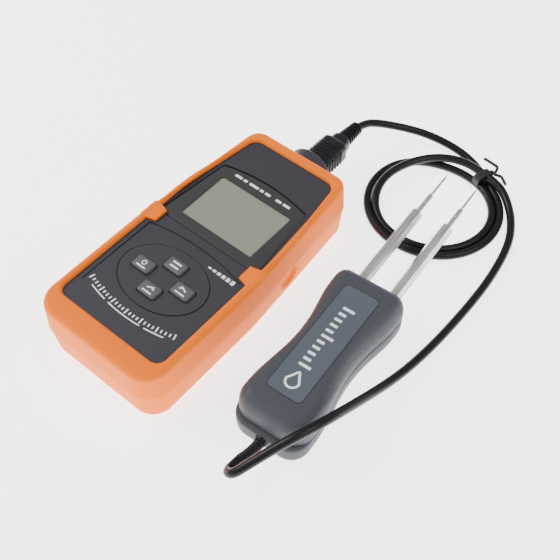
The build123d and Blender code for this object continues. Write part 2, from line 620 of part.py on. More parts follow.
def make_rods():
    """Hexagonal electrode rods with a bored, chamfered tip for the needle."""
    for side, name in ((-1, "rod_left"), (1, "rod_right")):
        x = side * ROD_SPACING / 2
        plane = Plane(origin=(x, ROD_Y[1], HANDLE_PARTING), z_dir=(0, -1, 0), x_dir=(1, 0, 0))
        rod = extrude(plane * RegularPolygon(ROD_ACROSS_CORNERS / 2, 6), ROD_Y[1] - ROD_Y[0])
        rod = chamfer(rod.edges().group_by(Axis.Y)[-1], 0.9)
        bore_y = (ROD_Y[1] - NEEDLE_BORE_DEPTH, ROD_Y[1] + 1)
        rod = rod - rod_along_y(NEEDLE_SHANK_R + 0.06, bore_y, x=x, z=HANDLE_PARTING)
        save(name, on_probe(rod))


def make_needles():
    """Screw-in needles: stem in the rod, drilled shank, shoulder and a fine point."""
    for side, name in ((-1, "needle_left"), (1, "needle_right")):
        stem = NEEDLE_BORE_DEPTH - 0.4
        profile = [(0, -stem), (NEEDLE_SHANK_R, -stem), (NEEDLE_SHANK_R, NEEDLE_SHANK_END),
                   (0.75, NEEDLE_SHANK_END + 2.0), (0.6, NEEDLE_LENGTH - 4.0), (0, NEEDLE_LENGTH)]
        needle = revolve(make_face(Polyline(*profile, close=True)), Axis.Y)
        needle = needle - Pos(0, 8.0, 0) * Cylinder(0.55, 5.0)
        place = Pos(side * ROD_SPACING / 2, ROD_Y[1], HANDLE_PARTING)
        save(name, on_probe(place * needle))


def make_probe_inside():
    """Rod holder, rod terminals, wires, cord clamp, screws and label of the probe."""
    holder = block((-15.0, 15.0), (31.0, 41.0), (HANDLE_PARTING - 7.0, HANDLE_PARTING + 7.0))
    terminals = []
    wires = []
    for side in (-1, 1):
        x = side * ROD_SPACING / 2
        holder = holder - rod_along_y(ROD_ACROSS_CORNERS / 2 + 0.02, (30.0, 42.0), x=x, z=HANDLE_PARTING)
        terminals.append(rod_along_y(2.9, (ROD_Y[0] - 1.0, ROD_Y[0]), x=x, z=HANDLE_PARTING))
        route = [(x, ROD_Y[0] - 1.0, HANDLE_PARTING), (x, ROD_Y[0] - 8.0, HANDLE_PARTING),
                 (side * 6.0, 0.0, 12.5), (side * 2.2, -20.0, RELIEF_Z + 0.5), (side * 1.0, -39.2, RELIEF_Z)]
        wires.append(tube_along(route, 1.4))
    save("rod_holder", on_probe(holder))
    save("rod_terminals", on_probe(Compound(terminals)))
    save("probe_wires", on_probe(Compound(wires)))
    clamp = block((-6.0, 6.0), (-36.5, -30.5), (HANDLE_WALL, 9.0))
    save("cord_clamp", on_probe(clamp - rod_along_y(3.2, (-40.0, -28.0), z=RELIEF_Z)))
    screws = []
    for x, y in handle_screw_places():
        head = post(x, y, 2.5, (1.2, 3.0)) - post(x, y, 0.9, (0, 2.2))
        screws.append(head + post(x, y, 1.2, (2.9, HANDLE_PARTING + 7.0)))
    save("handle_screws", on_probe(Compound(screws)))
    plate = extrude(Pos(0, LABEL_CENTRE_Y, HANDLE_HEIGHT - 0.3) * RectangleRounded(LABEL[0], LABEL[1], 2.5),
                    LABEL[2])
    save("handle_label", on_probe(plate))
    relief = ribbed_relief(3.4, 2.7, -43.0, RELIEF_END_Y, 6, RELIEF_Z)
    flange = rod_along_y(3.9, (-41.0, -39.6), z=RELIEF_Z)
    neck = rod_along_y(3.3, (-43.2, -41.0), z=RELIEF_Z)
    save("probe_relief", on_probe(relief + flange + neck))


# ---------------------------------------------------------------- cord
def make_cord():
    """Cord tubes each side of the coil, the coil's envelope and the twist tie."""
    save("cord_plug_side", tube_along(PLUG_SIDE_ROUTE, CORD_D, "plug side"))
    save("cord_probe_side", tube_along(PROBE_SIDE_ROUTE, CORD_D, "probe side"))
    ring = Circle(COIL_RADII[1]) - Circle(COIL_RADII[0])
    coil = extrude(Pos(COIL_CENTRE[0], COIL_CENTRE[1], COIL_Z[0]) * ring, COIL_Z[1] - COIL_Z[0])
    save("cord_coil", coil)
    middle = sum(COIL_RADII) / 2 + 1.0
    height = COIL_Z[1] + 1.0
    outer = block((middle - 6.6, middle + 6.6), (-1.6, 1.6), (0.15, height))
    inner = block((middle - 5.9, middle + 5.9), (-2.0, 2.0), (0.75, height - 0.6))
    start = (middle + 6.0, 0.0, height - 1.0)
    routes = [
        [start, (middle + 10.5, 1.2, height), (middle + 11.2, 6.0, height + 0.5), (middle + 10.7, 12.0, height)],
        [start, (middle + 10.2, -1.5, height - 1.0), (middle + 9.7, -6.0, height - 2.0),
         (middle + 7.5, -10.5, height - 3.0)],
    ]
    tails = [tube_along(route, 1.6) for route in routes]
    tie = union([outer - inner] + tails)
    save("cord_tie", Pos(COIL_CENTRE[0], COIL_CENTRE[1], 0) * Rot(0, 0, 72.0) * tie)


os.makedirs("parts", exist_ok=True)
save("rubber_boot", make_boot())
save("front_case", make_front_case())
save("rear_case", make_rear_case())
save("battery_door", make_battery_door())
make_display()
make_keypad()
make_board()
make_battery()
make_case_screws()
make_socket()
make_plug()
save("handle_upper", on_probe(make_upper_shell()))
save("handle_lower", on_probe(make_lower_shell()))
make_rods()
make_needles()
make_probe_inside()
make_cord()
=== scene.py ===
"""Detailed visual model of a pin-type moisture meter with a plug-in probe on a coiled lead.

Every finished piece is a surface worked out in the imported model's own frame and rides on
one of its bodies. Sizes are in millimetres and are written to the meshes in metres.
"""
import logging
import math
from dataclasses import dataclass
from enum import Enum

import bpy
import numpy as np
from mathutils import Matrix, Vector


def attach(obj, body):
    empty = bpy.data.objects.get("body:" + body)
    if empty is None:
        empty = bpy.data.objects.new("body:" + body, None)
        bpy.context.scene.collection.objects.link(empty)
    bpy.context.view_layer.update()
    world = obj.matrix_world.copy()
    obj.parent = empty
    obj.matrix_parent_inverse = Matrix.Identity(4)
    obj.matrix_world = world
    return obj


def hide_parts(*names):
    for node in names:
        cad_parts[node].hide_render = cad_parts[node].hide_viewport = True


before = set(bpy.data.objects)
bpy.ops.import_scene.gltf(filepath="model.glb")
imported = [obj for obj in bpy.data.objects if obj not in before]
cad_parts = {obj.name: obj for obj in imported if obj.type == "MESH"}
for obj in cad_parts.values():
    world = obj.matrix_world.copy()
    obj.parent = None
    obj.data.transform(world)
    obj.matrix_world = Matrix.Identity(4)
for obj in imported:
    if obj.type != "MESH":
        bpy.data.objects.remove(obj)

MM = 0.001
LOG = logging.getLogger("moisture_meter")
Array = np.ndarray
Corner = tuple[float, float, float]


class Body(str, Enum):
    """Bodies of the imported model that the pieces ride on."""

    METER = "meter"
    PROBE = "probe_and_lead"
    KEY_POWER = "key_power_body"
    KEY_HOLD = "key_hold_body"
    KEY_UNIT = "key_unit_body"
    KEY_SELECT = "key_select_body"


class Symbol(Enum):
    """Generic marks printed on the keys."""

    POWER = "power"
    HOLD = "hold"
    UNIT = "unit"
    SELECT = "select"


# ---------------- surfaces
@dataclass
class Shape:
    """A mesh being built: points in millimetres and faces as lists of point numbers."""

    points: Array
    faces: list[list[int]]

    def moved(self, x: float = 0.0, y: float = 0.0, z: float = 0.0, turn: float = 0.0) -> "Shape":
        """Turns the shape about Z, in degrees, and then shifts it.

        Args:
            x, y, z: the shift.
            turn: the angle about Z.

        Returns:
            The moved shape.
        """
        angle = math.radians(turn)
        spin = np.array([[math.cos(angle), -math.sin(angle), 0.0],
                         [math.sin(angle), math.cos(angle), 0.0],
                         [0.0, 0.0, 1.0]])
        return Shape(self.points @ spin.T + np.array([x, y, z]), self.faces)


def joined(shapes: list[Shape]) -> Shape:
    """Several shapes as one mesh.

    Args:
        shapes: the shapes, which keep their own points.

    Returns:
        One shape that holds them all.
    """
    faces: list[list[int]] = []
    start = 0
    for shape in shapes:
        faces += [[number + start for number in face] for face in shape.faces]
        start += len(shape.points)
    return Shape(np.vstack([shape.points for shape in shapes]), faces)


def loft(rows: Array, ring: bool = False) -> Shape:
    """Closed surface through rows of points, capped at both ends or joined end to end.

    Args:
        rows: array (rows, points in a row, 3); each row is a closed loop.
        ring: True joins the last row to the first, so there are no caps.

    Returns:
        The surface with its faces turned outward.
    """
    count, width = rows.shape[:2]
    numbers = np.arange(count * width).reshape(count, width)
    upper = np.roll(numbers, -1, axis=0) if ring else numbers[1:]
    lower = numbers if ring else numbers[:-1]
    quads = np.stack([lower, np.roll(lower, -1, axis=1), np.roll(upper, -1, axis=1), upper], axis=-1)
    points = rows.reshape(-1, 3)
    corners = points[quads.reshape(-1, 4)]
    area = np.cross(corners[:, 2] - corners[:, 0], corners[:, 3] - corners[:, 1])
    caps = [] if ring else [numbers[0][::-1].tolist(), numbers[-1].tolist()]
    volume = float((corners.mean(1) * area).sum())
    if not ring:
        middle = rows.mean(1)
        for sign, row in ((-1.0, 0), (1.0, -1)):
            loop = rows[row]
            fan = np.cross(loop - middle[row], np.roll(loop, -1, axis=0) - middle[row])
            volume += sign * float((middle[row] * fan.sum(0)).sum())
    faces = quads.reshape(-1, 4).tolist() + caps
    return Shape(points, [face[::-1] for face in faces] if volume < 0 else faces)


def rounded_loop(corners: list[Corner], arc: int, sides: list[int]) -> Array:
    """Points round a polygon with rounded corners.

    Each corner is a true circular arc: the weighted mean of its two tangent points and its
    sharp point, where the sharp point's weight is the cosine of half the turn.

    Args:
        corners: x, y and radius of each corner.
        arc: steps in each corner.
        sides: points added between each corner and the next one.

    Returns:
        Array (points, 2).
    """
    table = np.array(corners, float)
    sharp, radius = table[:, :2], table[:, 2:]
    back = np.roll(sharp, 1, axis=0) - sharp
    ahead = np.roll(sharp, -1, axis=0) - sharp
    back = back / np.linalg.norm(back, axis=1, keepdims=True)
    ahead = ahead / np.linalg.norm(ahead, axis=1, keepdims=True)
    turn = np.arccos(np.clip(-(back * ahead).sum(1, keepdims=True), -1.0, 1.0))
    cut = radius * np.tan(turn / 2)
    first, last = sharp + back * cut, sharp + ahead * cut
    step = np.linspace(0.0, 1.0, arc + 1)[None, :, None]
    weight = np.cos(turn / 2)[:, None]
    share = np.concatenate([(1 - step) ** 2 + 0 * weight, 2 * weight * step * (1 - step),
                            step ** 2 + 0 * weight], axis=2)
    arcs = share[:, :, :1] * first[:, None] + share[:, :, 1:2] * sharp[:, None] + share[:, :, 2:] * last[:, None]
    arcs = arcs / share.sum(2, keepdims=True)
    loop = []
    for index, count in enumerate(sides):
        loop.append(arcs[index])
        after = arcs[(index + 1) % len(corners)][0]
        run = np.linspace(0.0, 1.0, count + 2)[1:-1, None]
        loop.append(last[index] * (1 - run) + after * run)
    return np.vstack(loop)


def inset(corners: list[Corner], distance: float, least: float = 0.3) -> list[Corner]:
    """The polygon whose sides are moved inward by one distance, for corners listed
    anticlockwise. A convex corner's radius shrinks by it and a hollow one's grows.

    Args:
        corners: x, y and radius of each corner.
        distance: how far the sides move; less than nothing moves them outward.
        least: the smallest radius kept.

    Returns:
        The new corners.
    """
    table = np.array(corners, float)
    sharp = table[:, :2]
    ahead = np.roll(sharp, -1, axis=0) - sharp
    ahead = ahead / np.linalg.norm(ahead, axis=1, keepdims=True)
    normal = np.stack([-ahead[:, 1], ahead[:, 0]], axis=1)
    before = np.roll(normal, 1, axis=0)
    shift = (normal + before) / (1 + (normal * before).sum(1, keepdims=True))
    hollow = before[:, 0] * normal[:, 1] - before[:, 1] * normal[:, 0] < 0
    radius = np.maximum(table[:, 2] + np.where(hollow, distance, -distance), least)
    moved = sharp + shift * distance
    return [(float(x), float(y), float(r)) for (x, y), r in zip(moved, radius)]


def mirrored(right: list[Corner]) -> list[Corner]:
    """Anticlockwise corners of an outline symmetric about X = 0, from its right side.

    Args:
        right: the right side's corners, low Y first.

    Returns:
        All of its corners.
    """
    return right + [(-x, y, radius) for x, y, radius in reversed(right)]


def lifted(loop: Array, height: Array | float) -> Array:
    """A flat loop with a height given to every point.

    Args:
        loop: the points (n, 2).
        height: one height, or one for each point.

    Returns:
        Array (n, 3).
    """
    return np.column_stack([loop, np.broadcast_to(height, len(loop))])


def plate(corners: list[Corner], z_low: float, z_high: float, edge: float = 0.0, arc: int = 6,
          side: int = 0) -> Shape:
    """Flat plate with a rounded outline and, if edge is given, a rounded upper edge.

    Args:
        corners: its outline, anticlockwise.
        z_low, z_high: its lower and upper faces.
        edge: radius of the upper edge.
        arc: steps in each corner.
        side: points added on each side.

    Returns:
        The plate.
    """
    rows = [(0.0, z_low)]
    angles = np.linspace(0.0, math.pi / 2, 5) if edge else np.zeros(1)
    rows += [(edge * (1 - math.cos(a)), z_high - edge + edge * math.sin(a)) for a in angles]
    sides = [side] * len(corners)
    return loft(np.array([lifted(rounded_loop(inset(corners, d), arc, sides), z) for d, z in rows]))


def box_corners(x: float, y: float, width: float, height: float, radius: float) -> list[Corner]:
    """Corners of a rectangle centred on a point.

    Args:
        x, y: its centre.
        width, height: its size along X and Y.
        radius: the radius of every corner.

    Returns:
        The corners, anticlockwise.
    """
    w, h = width / 2, height / 2
    return [(x + w, y - h, radius), (x + w, y + h, radius), (x - w, y + h, radius), (x - w, y - h, radius)]


def stroke(path: Array, width: float, z_low: float, z_high: float, closed: bool = False) -> Shape:
    """Flat printed line of one width along a path in the plane.

    Args:
        path: its points (n, 2).
        width: the line's width.
        z_low, z_high: its lower and upper faces.
        closed: True joins its end to its start.

    Returns:
        The line as a thin closed piece.
    """
    path = np.asarray(path, float)
    if closed:
        tangent = np.roll(path, -1, axis=0) - np.roll(path, 1, axis=0)
    else:
        tangent = np.gradient(path, axis=0)
    tangent = tangent / np.linalg.norm(tangent, axis=1, keepdims=True)
    normal = np.stack([-tangent[:, 1], tangent[:, 0]], axis=1) * width / 2
    left, right = path + normal, path - normal
    rows = np.stack([lifted(left, z_low), lifted(right, z_low),
                     lifted(right, z_high), lifted(left, z_high)], axis=1)
    return loft(rows, ring=closed)


def turned(profile: list[tuple[float, float]], steps: int = 48, x: float = 0.0, z: float = 0.0) -> Shape:
    """Surface of revolution about a line along Y.

    Args:
        profile: radius and Y of each ring, from one end to the other.
        steps: points in a ring.
        x, z: where the line is.

    Returns:
        The closed surface.
    """
    radius, y = np.array(profile, float).T
    angle = np.linspace(0.0, 2 * math.pi, steps, endpoint=False)
    rows = np.empty((len(radius), steps, 3))
    rows[..., 0] = x + radius[:, None] * np.cos(angle)
    rows[..., 1] = y[:, None]
    rows[..., 2] = z + radius[:, None] * np.sin(angle)
    return loft(rows)


def bar(sections: list[tuple[float, float, float, float]], x: float, z: float, arc: int = 8,
        side: int = 4) -> Shape:
    """Rounded rectangular bar along Y through several sections.

    Args:
        sections: Y, width, height and corner radius of each section.
        x, z: the bar's centre line.
        arc: steps in each corner.
        side: points added on each side.

    Returns:
        The closed bar.
    """
    rows = []
    for y, width, height, radius in sections:
        loop = rounded_loop(box_corners(0.0, 0.0, width, height, radius), arc, [side] * 4)
        rows.append(np.column_stack([loop[:, 0] + x, np.full(len(loop), y), loop[:, 1] + z]))
    return loft(np.array(rows))


def tube(path: Array, radius: Array | float, steps: int = 10) -> Shape:
    """Round tube along a path in space, its section carried along without twisting.

    Args:
        path: the centre line (n, 3).
        radius: the tube's radius, or one for each point.
        steps: points round it.

    Returns:
        The closed tube.
    """
    path = np.asarray(path, float)
    tangent = np.gradient(path, axis=0)
    tangent = tangent / np.linalg.norm(tangent, axis=1, keepdims=True)
    across = np.cross(tangent[0], [0.0, 0.0, 1.0] if abs(tangent[0, 2]) < 0.9 else [1.0, 0.0, 0.0])
    sides = []
    for direction in tangent:
        across = across - direction * (across @ direction)
        across = across / np.linalg.norm(across)
        sides.append(across)
    side = np.array(sides)
    other = np.cross(tangent, side)
    angle = np.linspace(0.0, 2 * math.pi, steps, endpoint=False)
    size = np.broadcast_to(radius, len(path))[:, None, None]
    circle = np.cos(angle)[None, :, None] * side[:, None] + np.sin(angle)[None, :, None] * other[:, None]
    return loft(path[:, None] + size * circle)


def smooth_path(points: Array, count: int) -> Array:
    """Curve through points: each step is the cubic whose slope at a point is half the
    difference between that point's two neighbours.

    Args:
        points: the points (n, 3).
        count: steps between neighbours.

    Returns:
        Array of points on the curve.
    """
    points = np.asarray(points, float)
    slope = np.gradient(points, axis=0)
    t = np.linspace(0.0, 1.0, count, endpoint=False)[None, :, None]
    a, b = points[:-1, None], points[1:, None]
    da, db = slope[:-1, None], slope[1:, None]
    curve = ((2 * t ** 3 - 3 * t ** 2 + 1) * a + (t ** 3 - 2 * t ** 2 + t) * da
             + (3 * t ** 2 - 2 * t ** 3) * b + (t ** 3 - t ** 2) * db)
    return np.vstack([curve.reshape(-1, 3), points[-1:]])


# ---------------- finishes
@dataclass(frozen=True)
class Finish:
    """A procedural finish with a fine grain."""

    name: str
    colour: tuple[float, float, float]
    rough: float = 0.5
    metal: float = 0.0
    coat: float = 0.0
    grain_size: float = 1.0
    grain_depth: float = 0.0
    mottle: float = 0.0
    stretch: tuple[float, float, float] = (1.0, 1.0, 1.0)
    specular: float = 0.5
    streak: float = 0.0
    turn: float = 0.0

    def material(self) -> bpy.types.Material:
        """The Blender material, made once and then found by its name.

        Returns:
            The material.
        """
        title = f"finish_{self.name}"
        known = bpy.data.materials.get(title)
        if known:
            return known
        material = bpy.data.materials.new(title)
        material.use_nodes = True
        nodes, links = material.node_tree.nodes, material.node_tree.links
        shader = nodes["Principled BSDF"]
        shader.inputs["Base Color"].default_value = (*self.colour, 1.0)
        shader.inputs["Roughness"].default_value = self.rough
        shader.inputs["Metallic"].default_value = self.metal
        shader.inputs["Coat Weight"].default_value = self.coat
        shader.inputs["Specular IOR Level"].default_value = self.specular
        if not (self.grain_depth or self.mottle or self.streak):
            return material
        place = nodes.new("ShaderNodeTexCoord")
        scale = nodes.new("ShaderNodeMapping")
        scale.vector_type = "TEXTURE"
        scale.inputs["Scale"].default_value = self.stretch
        scale.inputs["Rotation"].default_value = (0.0, 0.0, math.radians(self.turn))
        noise = nodes.new("ShaderNodeTexNoise")
        noise.inputs["Scale"].default_value = 1.0 / (self.grain_size * MM)
        noise.inputs["Detail"].default_value = 3.0
        links.new(place.outputs["Object"], scale.inputs["Vector"])
        links.new(scale.outputs["Vector"], noise.inputs["Vector"])
        if self.grain_depth:
            bump = nodes.new("ShaderNodeBump")
            bump.inputs["Strength"].default_value = 1.0
            bump.inputs["Distance"].default_value = self.grain_depth * MM
            links.new(noise.outputs["Fac"], bump.inputs["Height"])
            links.new(bump.outputs["Normal"], shader.inputs["Normal"])
        if self.mottle:
            ramp = nodes.new("ShaderNodeMapRange")
            ramp.inputs["To Min"].default_value = self.rough - self.mottle
            ramp.inputs["To Max"].default_value = self.rough + self.mottle
            links.new(noise.outputs["Fac"], ramp.inputs["Value"])
            links.new(ramp.outputs["Result"], shader.inputs["Roughness"])
        if self.streak:
            tint = nodes.new("ShaderNodeMapRange")
            tint.inputs["From Min"].default_value = 0.35
            tint.inputs["From Max"].default_value = 0.65
            tint.inputs["To Min"].default_value = 1.0 - self.streak
            shade = nodes.new("ShaderNodeVectorMath")
            shade.operation = "SCALE"
            shade.inputs[0].default_value = self.colour
            links.new(noise.outputs["Fac"], tint.inputs["Value"])
            links.new(tint.outputs["Result"], shade.inputs["Scale"])
            links.new(shade.outputs["Vector"], shader.inputs["Base Color"])
        return material


@dataclass(frozen=True)
class Palette:
    """All the finishes of the object."""

    boot: Finish = Finish("boot_rubber", (1.0, 0.19, 0.002), 0.5, grain_size=0.5, grain_depth=0.012, specular=0.08)
    case: Finish = Finish("case_plastic", (0.034, 0.033, 0.042), 0.5, grain_size=0.35, grain_depth=0.018,
                          specular=0.3)
    lens: Finish = Finish("display_window", (0.030, 0.029, 0.031), 0.3)
    screen: Finish = Finish("lcd", (0.225, 0.23, 0.185), 0.5, grain_size=3.0, mottle=0.03)
    key: Finish = Finish("key_rubber", (0.075, 0.075, 0.087), 0.5, grain_size=0.4, grain_depth=0.02)
    print_white: Finish = Finish("print_white", (0.9, 0.9, 0.92), 0.5)
    plug: Finish = Finish("plug_plastic", (0.009, 0.008, 0.012), 0.36, grain_size=0.5, grain_depth=0.01,
                          specular=0.22)
    cord: Finish = Finish("cord_jacket", (0.008, 0.008, 0.010), 0.32, grain_size=0.8, grain_depth=0.008,
                          specular=0.2)
    tie: Finish = Finish("tie_plastic", (0.008, 0.008, 0.009), 0.5)
    handle: Finish = Finish("handle_plastic", (0.060, 0.064, 0.076), 0.48, grain_size=0.45, grain_depth=0.012,
                            specular=0.12)
    label: Finish = Finish("label_film", (0.070, 0.086, 0.106), 0.42)
    label_line: Finish = Finish("label_line", (0.02, 0.022, 0.03), 0.5)
    rod: Finish = Finish("rod_steel", (0.78, 0.765, 0.76), 0.26, metal=0.9, grain_size=0.7, grain_depth=0.02,
                         mottle=0.08, stretch=(1.0, 30.0, 1.0), streak=0.5, turn=4.67)
    needle: Finish = Finish("needle_steel", (0.66, 0.65, 0.64), 0.2, metal=1.0, grain_size=0.4, mottle=0.05,
                            stretch=(1.0, 10.0, 1.0))
    steel: Finish = Finish("zinc_steel", (0.5, 0.5, 0.5), 0.35, metal=1.0, grain_size=0.3, mottle=0.06)
    nickel: Finish = Finish("nickel_plate", (0.6, 0.58, 0.55), 0.25, metal=1.0, grain_size=0.5, mottle=0.04)
    gold: Finish = Finish("gold_contacts", (0.9, 0.65, 0.25), 0.25, metal=1.0, grain_size=0.5, mottle=0.04)
    board: Finish = Finish("circuit_board", (0.02, 0.13, 0.04), 0.35, grain_size=0.6, grain_depth=0.01)
    chip: Finish = Finish("chip_plastic", (0.015, 0.015, 0.017), 0.5, grain_size=0.3, grain_depth=0.01)
    white: Finish = Finish("white_plastic", (0.75, 0.75, 0.73), 0.45, grain_size=0.5, grain_depth=0.008)
    grey: Finish = Finish("grey_rubber", (0.2, 0.2, 0.21), 0.6, grain_size=0.4, grain_depth=0.01)
    battery: Finish = Finish("battery_jacket", (0.06, 0.06, 0.065), 0.3, coat=0.4, grain_size=2.0, mottle=0.05)
    wire: Finish = Finish("wire_jacket", (0.4, 0.02, 0.02), 0.4, grain_size=0.5, mottle=0.05)


PALETTE = Palette()


@dataclass(frozen=True)
class Kept:
    """CAD nodes that stay as they are and take a finish."""

    finish: Finish
    nodes: tuple[str, ...]

    def paint(self) -> None:
        """Gives the finish to every node."""
        for name in self.nodes:
            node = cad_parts[name]
            material = self.finish.material()
            if not node.material_slots:
                node.data.materials.append(material)
            for slot in node.material_slots:
                slot.material = material
            flat = np.ones(len(node.data.polygons), dtype=bool)
            node.data.polygons.foreach_set("use_smooth", flat)
            node.data.set_sharp_from_angle(angle=math.radians(32))


def add_piece(name: str, shape: Shape, finish: Finish, body: Body, replaces: tuple[str, ...] = (),
              sharp: float = 35.0) -> bpy.types.Object:
    """Makes a finished piece of the object.

    Args:
        name: its name.
        shape: its surface in millimetres, in place.
        finish: its finish.
        body: the body it moves with.
        replaces: the CAD nodes it stands for.
        sharp: edges that turn by more than this many degrees stay sharp.

    Returns:
        The new object.
    """
    mesh = bpy.data.meshes.new(name)
    mesh.from_pydata((shape.points * MM).tolist(), [], shape.faces)
    mesh.polygons.foreach_set("use_smooth", np.ones(len(mesh.polygons), dtype=bool))
    mesh.set_sharp_from_angle(angle=math.radians(sharp))
    mesh.update()
    obj = bpy.data.objects.new(name, mesh)
    bpy.context.scene.collection.objects.link(obj)
    obj.data.materials.append(finish.material())
    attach(obj, body.value)
    if replaces:
        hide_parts(*replaces)
    LOG.info("%s: %d faces", name, len(mesh.polygons))
    return obj


# ---------------- meter
@dataclass(frozen=True)
class Boot:
    """Orange rubber boot round the meter, one closed surface with a rounded rim."""

    half_width: float = 38.5
    half_width_far: float = 32.0
    half_length: float = 78.0
    taper_y: float = -5.0
    crease_z: float = 19.0
    top_z: float = 36.0
    wall: float = 3.4
    floor_z: float = 2.6
    panel_z: float = 34.3
    dimple: tuple[float, float] = (23.5, 12.5)
    dimple_radius: float = 7.6
    dimple_depth: float = 1.8
    dimple_ring: float = 2.2
    edge: float = 3.2
    foot: float = 3.0
    window: tuple[float, float, float] = (20.0, -71.5, -3.0)
    sides: tuple[int, ...] = (24, 6, 44, 14, 20, 14, 44, 6, 24, 20)

    def wall_x(self, y: float) -> float:
        """Half width of the boot at its crease, at one Y on the tapered part.

        Args:
            y: the place along the boot.

        Returns:
            The half width there.
        """
        share = (y - self.taper_y) / (self.half_length - self.taper_y)
        return self.half_width + (self.half_width_far - self.half_width) * share

    def outer(self) -> list[Corner]:
        """Outline at the crease. Two straight-through corners bracket the dimple.

        Returns:
            The corners, anticlockwise.
        """
        low, high = self.dimple[0] - 10.0, self.dimple[0] + 10.0
        return mirrored([(self.half_width, -self.half_length, 13.0), (self.half_width, self.taper_y, 150.0),
                         (self.wall_x(low), low, 1.0), (self.wall_x(high), high, 1.0),
                         (self.half_width_far, self.half_length, 9.0)])

    def opening(self) -> list[Corner]:
        """Outline of the front opening at the panel, in step with the outer outline.

        Returns:
            The corners, anticlockwise.
        """
        return mirrored([(33.0, -65.3, 5.0), (33.0, -15.0, 1.0), (33.0, 8.0, 1.0), (33.0, 24.0, 120.0),
                         (26.7, 70.4, 6.0)])

    def back_window(self) -> list[Corner]:
        """Outline of the opening in the floor, round the battery door.

        Returns:
            The corners, anticlockwise.
        """
        x, low, high = self.window
        return mirrored([(x, low, 1.0), (x, -50.0, 1.0), (x, -30.0, 1.0), (x, -15.0, 1.0), (x, high, 1.0)])

    def loop(self, corners: list[Corner], distance: float, z: float) -> Array:
        """One row of the surface.

        Args:
            corners: the outline.
            distance: how far it is moved inward.
            z: its height.

        Returns:
            The row of points.
        """
        return lifted(rounded_loop(inset(corners, distance), 8, list(self.sides)), z)

    def rows(self) -> Array:
        """Rows of the surface, from under the rim, over it, down the wall and back inside.

        The upper wall leans in by the tangent of 3 degrees per millimetre above the crease and
        the lower wall by the tangent of 5 degrees below it. The rim's outer edge and the base's
        edge are quarter rounds.

        Returns:
            Array (rows, points in a row, 3).
        """
        opening, outer, window = self.opening(), self.outer(), self.back_window()
        rows = [self.loop(opening, 0.0, self.panel_z), self.loop(opening, -0.25, 34.9),
                self.loop(opening, -0.5, 35.35), self.loop(opening, -0.85, 35.7),
                self.loop(opening, -1.4, 35.92), self.loop(opening, -2.0, self.top_z)]
        lean = math.tan(math.radians(3.0))
        side = (self.top_z - self.edge - self.crease_z) * lean
        for angle in np.radians([84.0, 72.0, 60.0, 48.0, 36.0, 24.0, 12.0, 0.0]):
            rows.append(self.loop(outer, side + self.edge * (1 - math.cos(angle)),
                                  self.top_z - self.edge + self.edge * math.sin(angle)))
        for z in np.linspace(self.top_z - self.edge, self.crease_z, 16)[1:-1]:
            rows.append(self.loop(outer, (z - self.crease_z) * lean, z))
        rows += [self.loop(outer, 0.02, self.crease_z + 0.5), self.loop(outer, 0.0, self.crease_z + 0.15),
                 self.loop(outer, 0.25, self.crease_z - 0.15), self.loop(outer, 0.32, self.crease_z - 0.6)]
        fall = math.tan(math.radians(5.0))
        for z in np.linspace(self.crease_z - 1.2, self.foot, 24):
            rows.append(self.loop(outer, 0.3 + (self.crease_z - z) * fall, z))
        foot = 0.3 + (self.crease_z - self.foot) * fall
        for angle in np.radians([15.0, 30.0, 45.0, 60.0, 75.0, 90.0]):
            rows.append(self.loop(outer, foot + self.foot * (1 - math.cos(angle)),
                                  self.foot - self.foot * math.sin(angle)))
        rows += [self.loop(window, 0.0, 0.0), self.loop(window, 0.0, self.floor_z)]
        rows += [self.loop(outer, self.wall, self.floor_z), self.loop(outer, self.wall, self.crease_z),
                 self.loop(outer, self.wall, self.panel_z)]
        return np.array(rows)

    def dented(self, points: Array) -> Array:
        """Presses the round dimple into the right wall.

        The dimple's floor is flat, and its depth rises over a narrow ring at its rim, three
        times the square less twice the cube of the share of the ring crossed.

        Args:
            points: the rows of the boot.

        Returns:
            The rows with the dimple.
        """
        away = np.hypot(points[..., 1] - self.dimple[0], points[..., 2] - self.dimple[1])
        share = np.clip((self.dimple_radius - away) / self.dimple_ring, 0.0, 1.0)
        depth = self.dimple_depth * share * share * (3 - 2 * share)
        outside = (points[..., 0] > 33.5) & (points[..., 2] > 0.5)
        moved = points.copy()
        moved[..., 0] -= np.where(outside, depth, 0.0)
        return moved

    def tab(self, side: float) -> Shape:
        """Holding tab that reaches over the panel from one side of the rim.

        Args:
            side: 1 for the right side, -1 for the left.

        Returns:
            The tab.
        """
        corners = [(27.8, -5.4, 0.5), (33.4, -6.9, 0.6), (37.0, -6.8, 0.5), (37.0, 4.5, 0.5), (33.4, 4.6, 0.6),
                   (27.8, 3.1, 0.5)]
        if side < 0:
            corners = [(-x, y, r) for x, y, r in reversed(corners)]
        return plate(corners, self.panel_z, 35.75, 0.6, side=2)

    def build(self) -> None:
        """Makes the boot with its tabs."""
        wall = loft(self.dented(self.rows()), ring=True)
        add_piece("Boot", joined([wall, self.tab(1.0), self.tab(-1.0)]), PALETTE.boot, Body.METER,
                  ("rubber_boot",), sharp=50.0)


